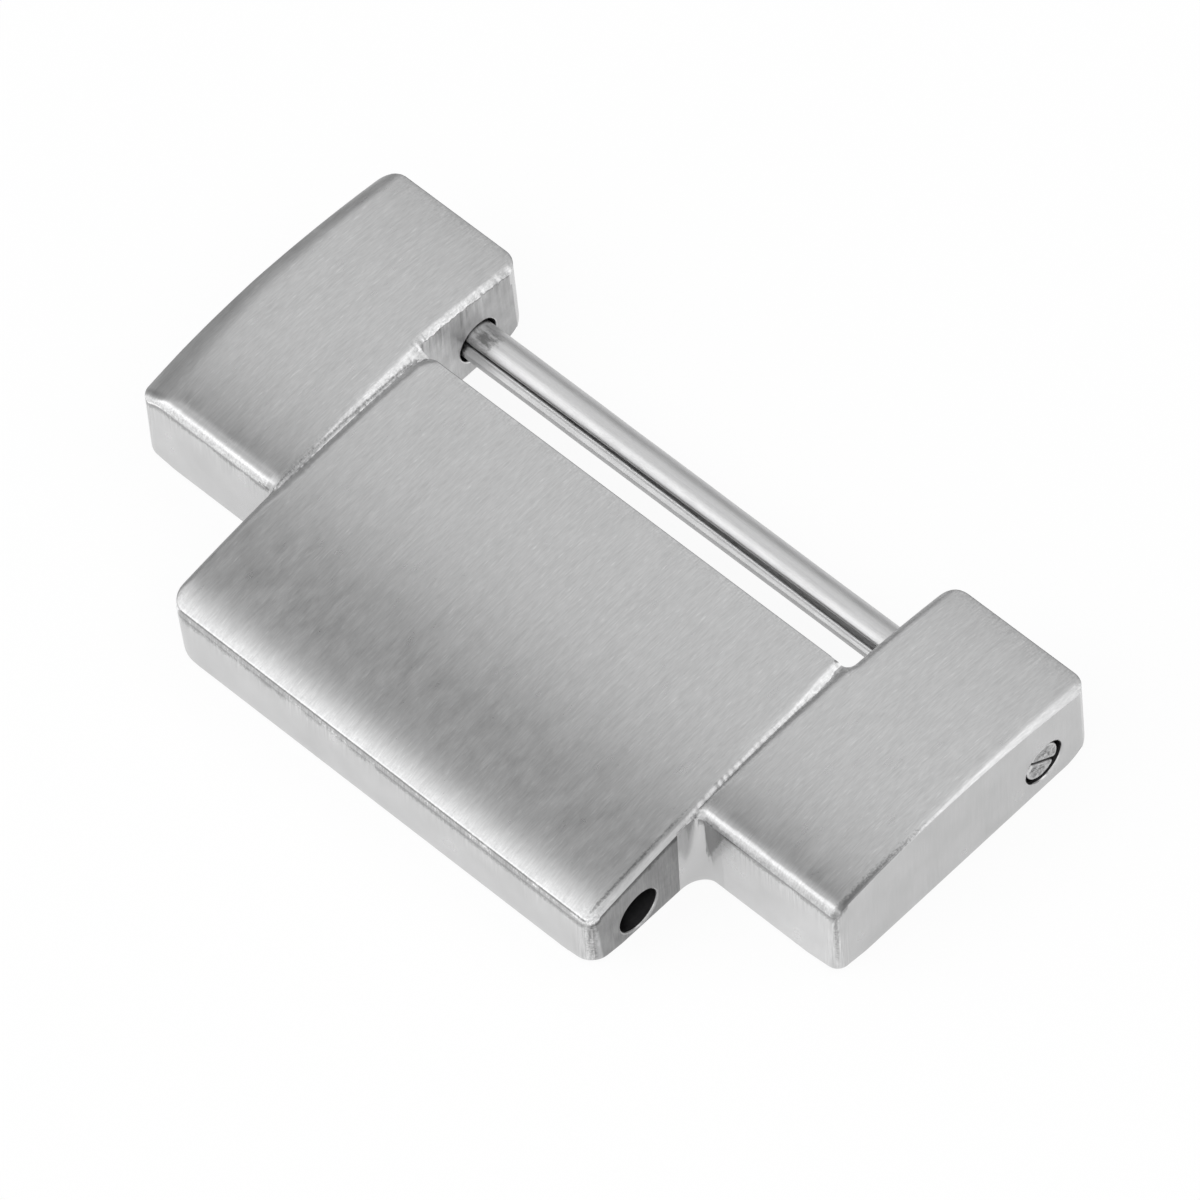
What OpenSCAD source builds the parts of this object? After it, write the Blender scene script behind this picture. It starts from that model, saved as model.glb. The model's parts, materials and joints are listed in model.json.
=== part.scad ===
// One link of a three-row steel watch bracelet, with the split pin that
// joins it to the next link.
// X runs along the pin, Y from the centre block's front to the ears' back,
// and Z from the flat underside to the arched outer face.

/* [Link body] */
// Width over both ears
link_w = 22.0; // [20:0.1:26]
// Width of the centre block
centre_w = 13.5; // [11:0.1:14]
// Distance between the centre block's bore and the ear holes, which is the bracelet's pitch
pitch = 9.0; // [8:0.1:12]
// Gap between the centre block's back face and the next link's centre block
end_clearance = 0.40; // [0.2:0.05:0.8]
// Height of the centre block at its crest
centre_h = 2.90; // [2.7:0.05:3.2]
// Radius of the centre block's outer arch
centre_arch_r = 38; // [30:1:60]
// Distance of the centre block's crest behind its front face
centre_crest_y = 8.3; // [7.5:0.1:8.6]
// How far the ears' front faces stand behind the centre block's front face
ear_setback = 3.6; // [3.2:0.1:4.5]
// Distance from the ear holes to the ears' back faces
ear_past_pin = 1.55; // [1.3:0.05:2]
// Height of the ears at their crest
ear_h = 2.95; // [2.75:0.05:3.25]
// Radius of the ears' outer arch
ear_arch_r = 24; // [18:0.5:30]
// Distance of the ears' crest behind the centre block's front face
ear_crest_y = 7.9; // [7.3:0.1:8.6]
// Side clearance of a centre block between the ears of its neighbour
side_clearance = 0.05; // [0.02:0.01:0.15]

/* [Rounded edges] */
// Radius between the centre block's top and its front face
centre_front_round = 0.40; // [0.2:0.05:0.6]
// Radius between an ear's top and its front or back face
ear_end_round = 0.35; // [0.1:0.05:0.4]
// Radius under an ear's back end, around the pin
ear_heel_round = 1.0; // [0.6:0.05:1.1]
// Radius of the edges along the underside
bottom_round = 0.20; // [0.1:0.02:0.3]
// Width of the bevel on the top edges that run along an ear's or the centre's side
side_bevel_w = 0.28; // [0.1:0.02:0.4]
// Depth of that bevel, and so of the grooves where two such edges meet
side_bevel_drop = 0.13; // [0.05:0.01:0.3]
// Radius of the centre block's upright front corners
centre_corner_round = 0.30; // [0.1:0.05:0.5]
// Radius of the ears' upright front corners
ear_front_corner = 0.20; // [0.05:0.01:0.4]
// Radius of the ears' upright back corners
ear_back_corner = 0.35; // [0.05:0.01:0.5]
// Concave radius where the centre block's side runs into an ear's front
front_blend = 0.60; // [0.3:0.05:0.9]
// Concave radius in the corners of the gap behind the centre block
gap_blend = 0.20; // [0.1:0.02:0.3]

/* [Pin holes] */
// Radius of the centre block's bore and of the ear holes
hole_r = 0.60; // [0.56:0.01:0.64]
// Distance of the centre block's bore behind its front face
bore_y = 1.55; // [1.3:0.05:1.8]
// Height of the centre block's bore above the underside
bore_z = 0.80; // [0.75:0.01:1.0]
// Height of the ear holes above the underside
ear_hole_z = 1.08; // [0.9:0.02:1.3]

/* [Split pin] */
// Radial clearance of the pin in its holes
pin_clearance = 0.08; // [0.05:0.01:0.1]
// How far each end of the pin lies below the ear's outer face
pin_recess = 0.04; // [0.02:0.01:0.3]
// Gap between the two legs at the fold
slot_at_fold = 0.05; // [0.03:0.01:0.1]
// Gap between the two legs where they bow apart the most
slot_at_bow = 0.17; // [0.14:0.01:0.22]
// Distance of that place from the fold
bow_at = 16.5; // [12:0.5:18]
// Gap between the two legs at the tips
slot_at_tips = 0.08; // [0.05:0.01:0.13]
// Length of the solid fold before the legs part
fold_len = 0.70; // [0.55:0.05:1.5]
// Tilt of the slot from level, its mouth facing forward and up
slot_tilt = 34; // [0:1:90]
// Bevel around the pin's ends
pin_bevel = 0.08; // [0.02:0.01:0.12]

/* [Hidden] */
$fn = 96;
arch_fn = 360;
eps = 0.01;
half_w = link_w / 2;
half_centre = centre_w / 2;
half_gap = half_centre + side_clearance;
ear_w = half_w - half_gap;
ear_hole_y = bore_y + pitch;
total_len = ear_hole_y + ear_past_pin;
mid_y = total_len / 2;
// The next link's centre block starts one pitch behind this one's
centre_len = pitch - end_clearance;
pin_r = hole_r - pin_clearance;
pin_len = link_w - 2 * pin_recess;
steel = [0.74, 0.74, 0.75];
bright_steel = [0.80, 0.80, 0.81];

// Height of the middle of an end round of radius q that touches an arch, with its crest at c,
// and an upright face at y
function end_round_z(r, h, c, y, q, side) =
    h - r + sqrt((r - q) * (r - q) - (c - y - side * q) * (c - y - side * q));

// Lays an outline drawn in Y and Z across the link, from x = from over a width w
module across(from, w) {
    translate([from, 0, 0])
        rotate([90, 0, 90])
            linear_extrude(height = w)
                children();
}

// A disc cut to the quarter that rounds the corner at c, on the sides given by sy and sz
module corner_waste(c, q, sy, sz) {
    difference() {
        translate([c[0] - (sy > 0 ? q : eps), c[1] - (sz > 0 ? q : eps)])
            square(q + eps);
        translate([c[0] - sy * q, c[1] - sz * q])
            circle(q);
    }
}

// Side outline under an arch with its crest at c, from y0 to y1, with its front top edge rounded by q
module arched_outline(r, h, c, y0, y1, q) {
    zq = end_round_z(r, h, c, y0, q, 1);
    // Where the end round leaves the arch
    touch = y0 + q - q * (c - y0 - q) / (r - q);
    intersection() {
        translate([c, h - r])
            circle(r, $fn = arch_fn);
        translate([touch, 0])
            square([y1 - touch, h]);
    }
    translate([y0 + q, zq])
        circle(q);
    translate([y0, 0])
        square([touch - y0 + eps, zq]);
}

module centre_outline() {
    difference() {
        arched_outline(centre_arch_r, centre_h, centre_crest_y, 0, centre_len, centre_front_round);
        corner_waste([0, 0], bottom_round, -1, -1);
    }
}

module ear_outline() {
    back_top = end_round_z(ear_arch_r, ear_h, ear_crest_y, total_len, ear_end_round, -1);
    difference() {
        arched_outline(ear_arch_r, ear_h, ear_crest_y, ear_setback, total_len, ear_end_round);
        corner_waste([ear_setback, 0], bottom_round, -1, -1);
        corner_waste([total_len, 0], ear_heel_round, 1, -1);
        difference() {
            translate([total_len - ear_end_round, back_top])
                square([ear_end_round + eps, ear_h]);
            translate([total_len - ear_end_round, back_top])
                circle(ear_end_round);
        }
    }
}

// Rounds the lower side edge that runs along Y at x, facing the side s
module bottom_side_waste(x, y0, y1, s) {
    translate([x, y1 + eps, 0])
        rotate([90, 0, 0])
            linear_extrude(height = y1 - y0 + 2 * eps)
                corner_waste([0, 0], bottom_round, s, -1);
}

// Bevels the top side edge that follows an arch of radius r, with its crest at c, at x facing the side s
module arch_side_waste(r, h, c, x, s) {
    above = 0.3;
    run = side_bevel_w / side_bevel_drop;
    translate([x, c, h - r])
        rotate([0, 90, 0])
            rotate_extrude($fn = arch_fn)
                polygon([
                    [r - side_bevel_drop - eps, s * run * eps],
                    [r + above, -s * run * (side_bevel_drop + above)],
                    [r + above, s * run * eps]
                ]);
}

// Upright corner at x, y, rounded by q, on the sides given by sx and sy
module upright_waste(x, y, q, sx, sy) {
    translate([x, y, -eps])
        linear_extrude(height = ear_h + 2 * eps)
            corner_waste([0, 0], q, sx, sy);
}

// Concave blend of radius q and height h that fills the corner at x, y
module blend_post(x, y, q, h, sx, sy) {
    difference() {
        translate([x - (sx < 0 ? q : eps), y - (sy < 0 ? q : eps), 0])
            cube([q + eps, q + eps, h]);
        translate([x + sx * q, y + sy * q, -eps])
            cylinder(r = q, h = h + 2 * eps);
    }
}

// A length of the centre block from y0 to y1, as wide as its place needs, with its top edges bevelled
module centre_stretch(y0, y1, half_width) {
    difference() {
        across(-half_width, 2 * half_width)
            intersection() {
                centre_outline();
                translate([y0, 0])
                    square([y1 - y0, centre_h]);
            }
        for (s = [-1, 1])
            arch_side_waste(centre_arch_r, centre_h, centre_crest_y, s * half_width, s);
    }
}

module centre_block() {
    difference() {
        centre_stretch(0, ear_setback + eps, half_centre);
        for (s = [-1, 1]) {
            upright_waste(s * half_centre, 0, centre_corner_round, s, -1);
            bottom_side_waste(s * half_centre, -eps, ear_setback - front_blend, s);
        }
    }
    centre_stretch(ear_setback, centre_len, half_gap);
}

// Concave blends where the centre block's side meets the ear's front and the gap behind
module blends(s) {
    ear_front_top = end_round_z(ear_arch_r, ear_h, ear_crest_y, ear_setback, ear_end_round, 1);
    blend_post(s * half_centre, ear_setback, front_blend, ear_front_top, s, -1);
    blend_post(s * half_gap, centre_len, gap_blend, centre_h - side_bevel_drop, -s, 1);
}

module ear(s) {
    outer = s * half_w;
    inner = s * half_gap;
    difference() {
        across(s > 0 ? half_gap : -half_w, ear_w)
            ear_outline();
        upright_waste(outer, ear_setback, ear_front_corner, s, -1);
        upright_waste(outer, total_len, ear_back_corner, s, 1);
        upright_waste(inner, total_len, ear_back_corner, -s, 1);
        bottom_side_waste(outer, ear_setback, total_len, s);
        arch_side_waste(ear_arch_r, ear_h, ear_crest_y, outer, s);
        arch_side_waste(ear_arch_r, ear_h, ear_crest_y, inner, -s);
    }
}

// One solid: the centre block, both ears and the blends between them
module link_body() {
    color(steel)
        translate([0, -mid_y, 0])
            difference() {
                union() {
                    centre_block();
                    for (s = [-1, 1]) {
                        ear(s);
                        blends(s);
                    }
                }
                translate([-half_w, bore_y, bore_z])
                    rotate([0, 90, 0])
                        cylinder(r = hole_r, h = link_w);
                translate([-half_w - eps, ear_hole_y, ear_hole_z])
                    rotate([0, 90, 0])
                        cylinder(r = hole_r, h = link_w + 2 * eps);
            }
}

// A round rod along +X with both ends bevelled
module bevelled_rod(r, len, bevel) {
    rotate([90, 0, 90])
        rotate_extrude()
            polygon([
                [0, 0],
                [r - bevel, 0],
                [r, bevel],
                [r, len - bevel],
                [r - bevel, len],
                [0, len]
            ]);
}

// The wire is folded at -X, and its two flat-faced legs bow apart and meet again at their tips at +X
module split_pin() {
    color(bright_steel)
        translate([-pin_len / 2, ear_hole_y - mid_y, ear_hole_z])
            rotate([-slot_tilt, 0, 0])
                difference() {
                    bevelled_rod(pin_r, pin_len, pin_bevel);
                    translate([0, pin_r + eps, 0])
                        rotate([90, 0, 0])
                            linear_extrude(height = 2 * (pin_r + eps))
                                polygon([
                                    [fold_len, slot_at_fold / 2],
                                    [fold_len, -slot_at_fold / 2],
                                    [bow_at, -slot_at_bow / 2],
                                    [pin_len + eps, -slot_at_tips / 2],
                                    [pin_len + eps, slot_at_tips / 2],
                                    [bow_at, slot_at_bow / 2]
                                ]);
                }
}

link_body();
split_pin();
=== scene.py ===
import json
import math

import bpy
import numpy as np
from mathutils import Matrix, Vector
from mathutils.geometry import delaunay_2d_cdt

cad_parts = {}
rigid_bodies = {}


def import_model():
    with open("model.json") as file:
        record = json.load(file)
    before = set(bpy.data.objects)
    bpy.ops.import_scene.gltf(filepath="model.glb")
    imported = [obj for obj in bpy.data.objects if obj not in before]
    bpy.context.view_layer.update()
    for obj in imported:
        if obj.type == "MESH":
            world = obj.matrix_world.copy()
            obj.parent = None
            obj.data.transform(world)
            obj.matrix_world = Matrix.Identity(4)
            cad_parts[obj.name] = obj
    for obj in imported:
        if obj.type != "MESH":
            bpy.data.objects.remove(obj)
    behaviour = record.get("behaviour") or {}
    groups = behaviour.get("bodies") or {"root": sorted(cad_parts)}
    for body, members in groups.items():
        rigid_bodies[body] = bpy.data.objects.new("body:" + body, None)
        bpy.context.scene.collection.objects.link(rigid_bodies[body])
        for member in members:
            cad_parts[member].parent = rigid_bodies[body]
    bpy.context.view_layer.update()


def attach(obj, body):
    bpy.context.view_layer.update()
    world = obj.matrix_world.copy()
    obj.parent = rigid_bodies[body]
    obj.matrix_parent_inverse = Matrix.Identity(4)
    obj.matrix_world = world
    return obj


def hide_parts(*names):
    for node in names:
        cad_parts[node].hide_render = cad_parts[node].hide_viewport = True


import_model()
mm = 0.001

# Shared dimensions of the link, in mm from the centre block's front face and the underside
link = {
    "halfWidth": 11.0,
    "centreHalf": 6.75,
    "gapHalf": 6.80,
    "centreBack": 8.6,
    "earFront": 3.6,
    "earBack": 12.1,
    "centreHeight": 2.90,
    "centreArch": 38.0,
    "centreCrest": 8.3,
    "earHeight": 2.95,
    "earArch": 26.0,
    "earCrest": 7.9,
    "holeRadius": 0.60,
    "boreY": 1.55,
    "boreZ": 0.80,
    "earHoleY": 10.55,
    "earHoleZ": 1.08,
}
midY = link["earBack"] / 2


# Puts points given in mm from the front face into the row frame, in metres
def rowPoints(points):
    moved = np.asarray(points, float).copy()
    moved[:, 1] -= midY
    return moved * mm


def addObject(name, data):
    obj = bpy.data.objects.new(name, data)
    bpy.context.scene.collection.objects.link(obj)
    return obj


def meshFrom(name, verts, faces):
    mesh = bpy.data.meshes.new(name)
    mesh.from_pydata([tuple(v) for v in verts], [], faces)
    mesh.validate()
    mesh.update()
    return addObject(name, mesh)


# Quads between rings of points that follow each other, and a cap at each end
def tubeFaces(rings, around):
    faces = []
    for k in range(rings - 1):
        for i in range(around):
            j = (i + 1) % around
            faces.append([k * around + i, k * around + j, (k + 1) * around + j, (k + 1) * around + i])
    faces.append(list(range(around))[::-1])
    faces.append(list(range((rings - 1) * around, rings * around)))
    return faces


# Replaces an object's mesh by what its modifiers make of it
def bakeModifiers(obj):
    graph = bpy.context.evaluated_depsgraph_get()
    result = obj.evaluated_get(graph)
    mesh = bpy.data.meshes.new_from_object(result, preserve_all_data_layers=True, depsgraph=graph)
    obj.modifiers.clear()
    obj.data = mesh


# Shader groups that several finishes share: they take vectors or plain values and give masks

def newGroup(name, inputs, outputs):
    group = bpy.data.node_groups.new(name, "ShaderNodeTree")
    for label, value in inputs.items():
        kind = "NodeSocketVector" if isinstance(value, tuple) else "NodeSocketFloat"
        socket = group.interface.new_socket(name=label, in_out="INPUT", socket_type=kind)
        socket.default_value = value
    for label in outputs:
        group.interface.new_socket(name=label, in_out="OUTPUT", socket_type="NodeSocketFloat")
    return group, group.nodes.new("NodeGroupInput"), group.nodes.new("NodeGroupOutput")


def mathNode(tree, operation, first, second=None, clamp=False):
    node = tree.nodes.new("ShaderNodeMath")
    node.operation = operation
    node.use_clamp = clamp
    for slot, value in enumerate((first, second)):
        if value is None:
            continue
        if isinstance(value, (int, float)):
            node.inputs[slot].default_value = value
        else:
            tree.links.new(value, node.inputs[slot])
    return node.outputs[0]


# Spreads a 0 to 1 mask over the range low to high
def spread(tree, source, low, high, fromLow=0.3, fromHigh=0.7):
    node = tree.nodes.new("ShaderNodeMapRange")
    node.inputs["From Min"].default_value = fromLow
    node.inputs["From Max"].default_value = fromHigh
    node.inputs["To Min"].default_value = low
    node.inputs["To Max"].default_value = high
    tree.links.new(source, node.inputs["Value"])
    return node.outputs["Result"]


# An attribute's value, or a point's place in mm, for a group's nodes

def attributeValue(group, name):
    node = group.nodes.new("ShaderNodeAttribute")
    node.attribute_name = name
    return node.outputs["Fac"]


def placeInMm(group):
    coords = group.nodes.new("ShaderNodeTexCoord")
    inMm = group.nodes.new("ShaderNodeVectorMath")
    inMm.operation = "SCALE"
    inMm.inputs["Scale"].default_value = 1 / mm
    group.links.new(coords.outputs["Object"], inMm.inputs[0])
    return inMm.outputs[0]


# Noise whose grains reach as far along x, y and z as the vector says, in mm
def stretchedNoise(group, place, reach, detail=3.0, roughness=0.6):
    stretch = group.nodes.new("ShaderNodeVectorMath")
    stretch.operation = "DIVIDE"
    group.links.new(place, stretch.inputs[0])
    group.links.new(reach, stretch.inputs[1])
    noise = group.nodes.new("ShaderNodeTexNoise")
    noise.inputs["Scale"].default_value = 1.0
    noise.inputs["Detail"].default_value = detail
    noise.inputs["Roughness"].default_value = roughness
    group.links.new(stretch.outputs[0], noise.inputs["Vector"])
    return noise.outputs["Fac"]


# How far the grains of each noise reach along x, y and z, in mm, where a finish doesn't say otherwise
strokeReaches = {
    "Fine Reach": (0.035, 0.32, 0.32),
    "Long Reach": (0.07, 1.6, 1.6),
    "Tick Reach": (0.04, 0.30, 0.30),
    "Patch Reach": (0.40, 0.80, 0.80),
}
edgeReaches = {"Speck Reach": (0.06, 0.06, 0.06), "Drag Reach": (0.05, 0.05, 0.9)}


# Fine strokes left by the finishing belt, with bright ticks and cloudy patches among them
def makeStrokeGroup():
    group, inn, out = newGroup("beltStrokes", strokeReaches, ("Strokes", "Ticks", "Patches"))
    place = placeInMm(group)
    fine = mathNode(group, "MULTIPLY", stretchedNoise(group, place, inn.outputs["Fine Reach"]), 0.65)
    long = mathNode(group, "MULTIPLY", stretchedNoise(group, place, inn.outputs["Long Reach"]), 0.35)
    ticks = stretchedNoise(group, place, inn.outputs["Tick Reach"], 1.0)
    patches = stretchedNoise(group, place, inn.outputs["Patch Reach"], 4.0, 0.65)
    group.links.new(mathNode(group, "ADD", fine, long), out.inputs["Strokes"])
    group.links.new(spread(group, ticks, 0.0, 1.0, 0.62, 0.80), out.inputs["Ticks"])
    group.links.new(patches, out.inputs["Patches"])
    return group


# Painted shade in grooves, corners and under creases mixed with grime along worn edges, streaks where an
# edge was dragged over the belt, and painted highlights and shade along rolled edges, broken up by noise
def makeEdgeGroup():
    group, inn, out = newGroup("edgeMarks", edgeReaches, ("GrimeShade", "Drag", "HighlightShade"))
    place = placeInMm(group)
    specks = stretchedNoise(group, place, inn.outputs["Speck Reach"], 4.0, 0.7)
    specks = mathNode(group, "MULTIPLY", mathNode(group, "SUBTRACT", specks, 0.5), 1.5)
    broken = mathNode(group, "ADD", attributeValue(group, "edgeShadeAndGrime"), specks)
    group.links.new(spread(group, broken, 0.0, 1.0, 0.44, 0.86), out.inputs["GrimeShade"])
    streaks = stretchedNoise(group, place, inn.outputs["Drag Reach"], 3.0, 0.7)
    streaks = mathNode(group, "SUBTRACT", streaks, 0.5)
    drag = mathNode(group, "MULTIPLY", streaks, attributeValue(group, "edgeDrag"))
    group.links.new(drag, out.inputs["Drag"])
    streaky = mathNode(group, "ADD", mathNode(group, "MULTIPLY", streaks, 1.2), 1.0)
    paintedLight = mathNode(group, "MULTIPLY", streaky, attributeValue(group, "edgeLightAndShade"))
    group.links.new(paintedLight, out.inputs["HighlightShade"])
    return group


# Tiny nicks and grains of the unbrushed faces
def makeGrainGroup():
    group, inn, out = newGroup("satinGrain", {"Grain Size": 0.10, "Cloud Size": 1.2}, ("Grain", "Clouds"))
    place = placeInMm(group)
    grain = stretchedNoise(group, place, inn.outputs["Grain Size"], 3.0, 0.5)
    clouds = stretchedNoise(group, place, inn.outputs["Cloud Size"], 2.0, 0.5)
    group.links.new(grain, out.inputs["Grain"])
    group.links.new(clouds, out.inputs["Clouds"])
    return group


strokeGroup = makeStrokeGroup()
edgeGroup = makeEdgeGroup()
grainGroup = makeGrainGroup()


def newMaterial(name, kind="ShaderNodeBsdfPrincipled"):
    material = bpy.data.materials.new(name)
    material.use_nodes = True
    nodes = material.node_tree.nodes
    nodes.clear()
    shader = nodes.new(kind)
    output = nodes.new("ShaderNodeOutputMaterial")
    material.node_tree.links.new(shader.outputs[0], output.inputs["Surface"])
    return material, material.node_tree, shader


def placeGroup(tree, group, **values):
    node = tree.nodes.new("ShaderNodeGroup")
    node.node_tree = group
    for label, value in values.items():
        node.inputs[label.replace("_", " ")].default_value = value
    return node


def tintFrom(tree, source, dark, light):
    mix = tree.nodes.new("ShaderNodeMix")
    mix.data_type = "RGBA"
    mix.inputs["A"].default_value = (*dark, 1)
    mix.inputs["B"].default_value = (*light, 1)
    tree.links.new(spread(tree, source, 0.0, 1.0), mix.inputs["Factor"])
    return mix.outputs["Result"]


def bumpFrom(tree, source, height):
    bump = tree.nodes.new("ShaderNodeBump")
    bump.inputs["Strength"].default_value = 1.0
    bump.inputs["Distance"].default_value = height * mm
    tree.links.new(source, bump.inputs["Height"])
    return bump.outputs["Normal"]


# Scales a colour by one plus each of the given shares of its masks
def toned(tree, colour, *shades):
    for mask, share in shades:
        factor = mathNode(tree, "ADD", mathNode(tree, "MULTIPLY", mask, share), 1.0)
        scale = tree.nodes.new("ShaderNodeVectorMath")
        scale.operation = "SCALE"
        tree.links.new(colour, scale.inputs[0])
        tree.links.new(factor, scale.inputs["Scale"])
        colour = scale.outputs[0]
    return colour


# Stretches the reflection across the strokes, whose direction the UV map gives
def brushAcross(tree, shader, anisotropy, uvMap):
    shader.inputs["Anisotropic"].default_value = anisotropy
    tangent = tree.nodes.new("ShaderNodeTangent")
    tangent.direction_type = "UV_MAP"
    tangent.uv_map = uvMap
    tree.links.new(tangent.outputs[0], shader.inputs["Tangent"])


# The edge marks in the order in which they go on, and the look's share of each
edgeShares = (("Drag", "dragShare"), ("HighlightShade", "highlightShadeShare"), ("GrimeShade", "shadeGrimeShare"))


# What all the steels share: tint, roughness and bump follow the named masks of one group, then the wear,
# grime, painted shade and painted highlights
def finishSteel(tree, shader, look, source, masks, marks=None, shades=()):
    tintMask, roughMask, bumpMask = (source.outputs[name] for name in masks)
    shader.inputs["Metallic"].default_value = 1.0
    colour = tintFrom(tree, tintMask, look["dark"], look["light"])
    wear = [(marks.outputs[name], look[key]) for name, key in edgeShares if marks and key in look]
    tree.links.new(toned(tree, colour, *shades, *wear), shader.inputs["Base Color"])
    tree.links.new(spread(tree, roughMask, *look["roughness"]), shader.inputs["Roughness"])
    tree.links.new(bumpFrom(tree, bumpMask, look["bumpHeight"]), shader.inputs["Normal"])


brushedLook = {
    "dark": (0.455, 0.456, 0.458),
    "light": (0.585, 0.586, 0.588),
    "roughness": (0.27, 0.34),
    "anisotropy": 0.65,
    "bumpHeight": 0.0005,
    "tickShare": 0.15,
    "patchShare": 0.22,
    "shadeGrimeShare": -0.50,
    "dragShare": 1.5,
    "highlightShadeShare": 0.34,
}


def makeBrushedSteel():
    look = brushedLook
    material, tree, shader = newMaterial("brushedSteel")
    strokes = placeGroup(tree, strokeGroup)
    marks = placeGroup(tree, edgeGroup, Drag_Reach=(0.05, 0.07, 0.05))
    brushAcross(tree, shader, look["anisotropy"], "brushMap")
    patches = mathNode(tree, "SUBTRACT", strokes.outputs["Patches"], 0.5)
    shades = [(strokes.outputs["Ticks"], look["tickShare"]), (patches, look["patchShare"])]
    finishSteel(tree, shader, look, strokes, ("Strokes", "Patches", "Strokes"), marks, shades)
    return material


satinLook = {
    "dark": (0.60, 0.60, 0.602),
    "light": (0.68, 0.68, 0.682),
    "roughness": (0.20, 0.28),
    "bumpHeight": 0.0012,
    "shadeGrimeShare": -0.46,
    "dragShare": 2.0,
    "highlightShadeShare": 1.0,
}


def makeSatinSteel():
    material, tree, shader = newMaterial("satinSteel")
    grain = placeGroup(tree, grainGroup)
    marks = placeGroup(tree, edgeGroup, Drag_Reach=(0.05, 0.05, 1.2))
    finishSteel(tree, shader, satinLook, grain, ("Clouds", "Clouds", "Grain"), marks)
    return material


# The cut faces between the links: duller, with the cutter's upright traces
machinedLook = {
    "dark": (0.42, 0.42, 0.422),
    "light": (0.56, 0.56, 0.562),
    "roughness": (0.38, 0.52),
    "bumpHeight": 0.0010,
    "shadeGrimeShare": -0.60,
    "dragShare": 1.2,
    "highlightShadeShare": 1.0,
}


def makeMachinedSteel():
    material, tree, shader = newMaterial("machinedSteel")
    long, patch = (0.16, 0.16, 2.4), (0.5, 0.5, 0.7)
    traces = placeGroup(tree, strokeGroup, Fine_Reach=(0.05, 0.05, 0.8), Long_Reach=long, Patch_Reach=patch)
    marks = placeGroup(tree, edgeGroup, Drag_Reach=(0.05, 0.05, 0.6))
    finishSteel(tree, shader, machinedLook, traces, ("Patches", "Strokes", "Strokes"), marks)
    return material


# Painted shade: the bores' steel is made nearly black, standing in for the shade deep inside the holes
boreShadeLook = {
    "dark": (0.02, 0.02, 0.021),
    "light": (0.06, 0.06, 0.062),
    "roughness": (0.4, 0.55),
    "bumpHeight": 0.002,
}


def makeBoreShadeSteel():
    material, tree, shader = newMaterial("boreShadeSteel")
    strokes = placeGroup(tree, strokeGroup, Fine_Reach=(0.06, 0.5, 0.5), Long_Reach=(0.2, 2.0, 2.0))
    finishSteel(tree, shader, boreShadeLook, strokes, ("Patches", "Strokes", "Strokes"))
    return material


wireLook = {
    "dark": (0.58, 0.58, 0.582),
    "light": (0.69, 0.69, 0.692),
    "roughness": (0.34, 0.44),
    "anisotropy": 0.55,
    "bumpHeight": 0.0006,
    "patchShare": 0.10,
    "shadeGrimeShare": -0.62,
    "dragShare": 0.8,
}


def makeDrawnWire():
    look = wireLook
    material, tree, shader = newMaterial("drawnWire")
    long, patch = (6.0, 0.10, 0.10), (0.6, 0.25, 0.25)
    strokes = placeGroup(tree, strokeGroup, Fine_Reach=(1.6, 0.03, 0.03), Long_Reach=long, Patch_Reach=patch)
    marks = placeGroup(tree, edgeGroup, Speck_Reach=(0.30, 0.12, 0.12), Drag_Reach=(0.08, 0.06, 0.06))
    brushAcross(tree, shader, look["anisotropy"], "drawMap")
    patches = mathNode(tree, "SUBTRACT", strokes.outputs["Patches"], 0.5)
    shades = [(patches, look["patchShare"])]
    finishSteel(tree, shader, look, strokes, ("Strokes", "Patches", "Strokes"), marks, shades)
    return material


brushedSteel = makeBrushedSteel()
satinSteel = makeSatinSteel()
machinedSteel = makeMachinedSteel()
boreShadeSteel = makeBoreShadeSteel()
drawnWire = makeDrawnWire()
print("finishes made")


# Writes a mesh's UV map, given at its points, and its point masks
def writeMaps(mesh, uvName, uvAtPoints, masks):
    loops = np.zeros(len(mesh.loops), int)
    mesh.loops.foreach_get("vertex_index", loops)
    mesh.uv_layers.new(name=uvName).data.foreach_set("uv", uvAtPoints[loops].ravel())
    for name, values in masks.items():
        mesh.attributes.new(name, "FLOAT", "POINT").data.foreach_set("value", values)


# Link body: a top and an underside, each with heights over its own plan outline, joined by a wall

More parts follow.
